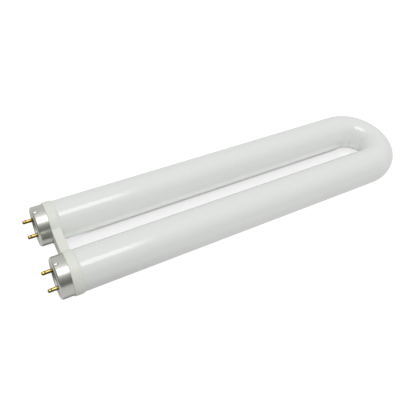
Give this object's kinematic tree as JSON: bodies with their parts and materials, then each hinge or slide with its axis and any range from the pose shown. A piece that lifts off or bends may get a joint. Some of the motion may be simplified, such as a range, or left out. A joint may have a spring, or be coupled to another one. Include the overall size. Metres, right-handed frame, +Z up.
{
  "type": "u shaped fluorescent bulb",
  "caption": "White coated glass tube bent into a U, with aluminium end caps, brass bi-pin contacts and a moulded brace between the legs; lies flat or plugs into lamp holders.",
  "frame": {"origin": "on the surface the lamp lies on, under the middle of its length and width", "axes": "+X along the legs from the pins to the bend, +Y across to the left leg seen from the pin end, +Z up, square to the plane of the U"},
  "size_m": [0.2724, 0.068, 0.0268],
  "materials": {
    "coated_glass": "glossy, opaque white coating inside",
    "brace_plastic": "satin moulded",
    "cap_aluminium": "drawn, bright satin",
    "plate_insulator": "dark pressed board",
    "pin_brass": "bright",
    "basing_cement": "matte",
    "lead_metal": "dull"
  },
  "bodies": {
    "root": {"glass_tube": "coated_glass", "leg_brace": "brace_plastic", "left_end_cap": "cap_aluminium", "right_end_cap": "cap_aluminium", "left_pin_plate": "plate_insulator", "right_pin_plate": "plate_insulator", "left_outer_pin": "pin_brass", "left_inner_pin": "pin_brass", "right_inner_pin": "pin_brass", "right_outer_pin": "pin_brass", "left_cement_ring": "basing_cement", "right_cement_ring": "basing_cement", "left_outer_lead_wire": "lead_metal", "left_inner_lead_wire": "lead_metal", "right_inner_lead_wire": "lead_metal", "right_outer_lead_wire": "lead_metal"}
  },
  "joints": []
}
